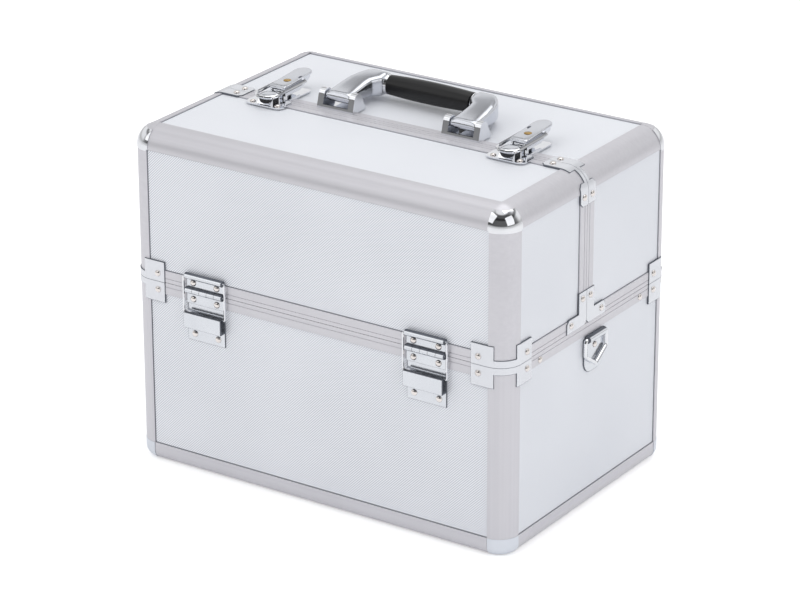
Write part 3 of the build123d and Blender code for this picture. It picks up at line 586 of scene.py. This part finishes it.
# layers are (inset or scale, lift off the lever); aside is measured from the lever's middle line
lever = {"half": 7.75, "front": -8.2, "back": 36.0, "frontZ": 300.6, "backZ": 304.0, "steps": 20,
         "corner": 2.0, "cut": 0.6, "layers": ((0.0, 0.02), (0.0, 0.25), (0.22, 0.48), (0.6, 0.55))}
nose = {"half": 7.6, "y": -4.4, "z": 299.9, "reach": 4.0, "drop": 1.6, "thick": 0.5, "square": 0.45,
        "steps": 16, "rows": 8}
notch = {"aside": 5.6, "y": 18, "half": (1.1, 3.1), "steps": 20,
         "layers": ((1.0, 0.4), (1.0, 0.62), (0.8, 0.66))}
keyFace = {"aside": 0.0, "y": 7, "half": (3.3, 3.3), "steps": 24,
           "layers": ((1.0, 0.4), (1.0, 0.62), (0.86, 0.78), (0.3, 0.80))}
catch = {"y": -18.7, "half": (7.7, 8.3), "under": 295.6, "rise": 3.2, "sides": 0.6, "crown": 0.8,
         "square": 0.7, "steps": 36, "rows": 11, "shadeSkirtHalf": (7.0, 7.5), "shadeSkirtZ": (291.15, 295.62)}


def leverTop(y):
    s = lever
    return s["frontZ"] + (s["backZ"] - s["frontZ"]) * (y - s["front"]) / (s["back"] - s["front"])


def leverOutline(inset):
    # round at the rear, softly cut corners at the front
    s = lever
    r, front = s["half"] - inset, s["front"] + inset
    mid, corner, cut = s["back"] - s["half"], s["corner"], s["cut"]
    turns = [math.pi * k / s["steps"] for k in range(s["steps"] + 1)]
    points = [(r * math.cos(a), mid + r * math.sin(a)) for a in turns]
    points += [(-r, front + corner), (-r + cut, front + cut), (-r + corner, front)]
    points += [(r - corner, front), (r - cut, front + cut), (r, front + corner)]
    return points


def leverFace(middle):
    # pressed top face and the rolled nose before the fulcrum
    bm = bmesh.new()
    skinRings(bm, [[(middle + x, y, leverTop(y) + lift) for x, y in leverOutline(inset)]
                   for inset, lift in lever["layers"]])
    s = nose
    widths = [point[0] for point in softCircle(s["steps"], s["square"])]
    depths = [s["thick"] * point[1] for point in softCircle(s["steps"])]
    rings = []
    for k in range(s["rows"] + 1):
        a = math.pi / 2 * k / s["rows"]
        y, z = s["y"] - s["reach"] * math.sin(a), s["z"] + s["drop"] * math.cos(a)
        rings.append([(middle + s["half"] * c, y + math.sin(a) * d, z + math.cos(a) * d)
                      for c, d in zip(widths, depths)])
    skinRings(bm, rings)
    bmesh.ops.recalc_face_normals(bm, faces=bm.faces)
    return bm


def ovalLayers(x, y, half, square, steps, layers):
    # a solid of ovals that share a centre; layers are (scale, height)
    bm = bmesh.new()
    (halfWide, halfLong), turns = half, softCircle(steps, square)
    skinRings(bm, [[(x + halfWide * scale * c, y + halfLong * scale * s, z) for c, s in turns]
                   for scale, z in layers])
    return bm


def onLever(s, middle, sx):
    # a low raised form on the lever's face
    layers = [(scale, leverTop(s["y"]) + lift) for scale, lift in s["layers"]]
    return ovalLayers(middle - sx * s["aside"], s["y"], s["half"], 1.0, s["steps"], layers)


def catchDome(middle):
    s = catch
    turns = [math.pi / 2 * i / s["rows"] for i in range(s["rows"])]
    layers = [(math.cos(t) ** s["sides"], s["under"] + s["rise"] * math.sin(t) ** s["crown"]) for t in turns]
    return ovalLayers(middle, s["y"], s["half"], s["square"], s["steps"], layers)


for side, sx in (("right", 1), ("left", -1)):
    body, middle = side + "_latch_lever", sx * latchX
    pieceFrom(side + "LeverFace", leverFace(middle), "satinChrome", body)
    # painted shade: the notch is drawn as a dark raised oval that stands for the shade inside it
    pieceFrom(side + "LeverNotch", onLever(notch, middle, sx), "seam", body)
    pieceFrom(side + "KeyFace", onLever(keyFace, middle, sx), "key", body)
    pieceFrom(side + "CatchDome", catchDome(middle), "satinChrome", "front_lid")
    # painted shadow: a dark skirt in the trays' finish under the catch dome, where the bail's shade falls on
    # the plate
    shadeSkirt = ovalLayers(middle, catch["y"], catch["shadeSkirtHalf"], catch["square"], catch["steps"],
                        [(1.0, z) for z in catch["shadeSkirtZ"]])
    pieceFrom(side + "CatchHollow", shadeSkirt, "tray", "front_lid")  # dark under the dome
print("latches dressed")

# glow is what the camera sees of the paper by itself, shine what polished metal sees
room = {"floorGlow": 0.34, "floorShine": 0.10, "floorReach": 9, "worldLight": 0.70}
paper = Finish("paperFloor", Roughness=0.9, Specular_IOR_Level=0.1)
seen, shine = paper.rayKinds("Is Camera Ray", "Is Glossy Ray")
paper.set("Base Color", paper.blend(paper.noise(3.0), tone("FAFAFA"), tone("F6F6F7")))
paper.set("Emission Color", (1, 1, 1, 1))
paper.set("Emission Strength", seen * room["floorGlow"] + shine * room["floorShine"])
reach = room["floorReach"]
corners = [(sx * reach, sy * reach, 0) for sx, sy in ((-1, -1), (1, -1), (1, 1), (-1, 1))]
floorMesh = bpy.data.meshes.new("floorPaper")
floorMesh.from_pydata(corners, [], [(0, 1, 2, 3)])
floor = bpy.data.objects.new("floorPaper", floorMesh)
bpy.context.scene.collection.objects.link(floor)
floorMesh.materials.append(paper.material)

# what only mirrored rays meet: a bright wall behind the set, a dark room behind the camera, a soft box
# overhead; each list is (place, brightness), by height except depth, from the far wall to the camera's side
reflections = {
    "toCamera": (0.557, 0.830),
    "bands": [(0.0, 0.55), (0.52, 0.45), (0.58, 0.70), (0.63, 0.92), (0.76, 0.95), (0.80, 0.30), (0.84, 0.25),
              (0.88, 0.90), (1.0, 1.0)],
    "depth": [(0.0, 1.0), (0.42, 1.0), (0.56, 0.30), (0.70, 0.10), (1.0, 0.14)],
    "box": [(0.0, 0.0), (0.86, 0.0), (0.92, 0.9), (1.0, 1.0)],
    "low": [(0.0, 0.8), (0.51, 0.75), (0.55, 0.4), (0.59, 0.0), (1.0, 0.0)],
}
world = bpy.data.worlds.new("studio")
bpy.context.scene.world = world
world.use_nodes = True
air = Finish("studioAir", world.node_tree)
direction = air.axes("Generated")
sideways, forward = reflections["toCamera"]
toward = direction[0] * sideways - direction[1] * forward
bands = air.ramp(direction[2] * 0.5 + 0.5, reflections["bands"])
depth = air.ramp(toward * 0.5 + 0.5, reflections["depth"])
box = air.ramp(direction[2], reflections["box"])
low = air.ramp(direction[2] * 0.5 + 0.5, reflections["low"])
mirrored = air.greater(air.greater(bands * depth, box), low)
cameraRay, glossyRay = air.rayKinds("Is Camera Ray", "Is Glossy Ray")
level = cameraRay + glossyRay * mirrored + (1.0 - cameraRay) * (1.0 - glossyRay) * room["worldLight"]
sky = world.node_tree.nodes["Background"]
sky.inputs["Color"].default_value = (1, 1, 1, 1)
air.feed(sky.inputs["Strength"], level)

lamps = {
    "keyLamp": {"at": (-1.6, -2.6, 2.6), "size": 2.8, "power": 26},
    "sideLamp": {"at": (2.8, -0.6, 1.8), "size": 2.2, "power": 17},
    "topLamp": {"at": (0.1, 0.9, 3.0), "size": 2.8, "power": 22},
}
lampTarget = Vector((0, 0, 0.15))
for name, s in lamps.items():
    light = bpy.data.lights.new(name, "AREA")
    light.size, light.energy = s["size"], s["power"]
    lamp = bpy.data.objects.new(name, light)
    bpy.context.scene.collection.objects.link(lamp)
    lamp.location = s["at"]
    lamp.rotation_euler = (lampTarget - Vector(s["at"])).to_track_quat("-Z", "Y").to_euler()

# degrees, and mm for the lens and its sensor
shot = {"at": (1.51806, -2.26214, 1.26212), "tilt": 90 - 22.44, "turn": 33.88, "roll": -0.15, "lens": 162.84,
        "sensor": 36.0, "farthest": 50}
camera = bpy.data.objects.new("camera", bpy.data.cameras.new("camera"))
bpy.context.scene.collection.objects.link(camera)
camera.location = shot["at"]
turn, tilt, roll = (Matrix.Rotation(math.radians(shot[key]), 3, axis)
                    for key, axis in (("turn", "Z"), ("tilt", "X"), ("roll", "Z")))
camera.rotation_euler = (turn @ tilt @ roll).to_euler()
camera.data.lens, camera.data.sensor_width = shot["lens"], shot["sensor"]
camera.data.clip_end = shot["farthest"]
bpy.context.scene.camera = camera
bpy.context.scene.view_settings.view_transform = "Standard"
print("stage, lamps and camera ready")
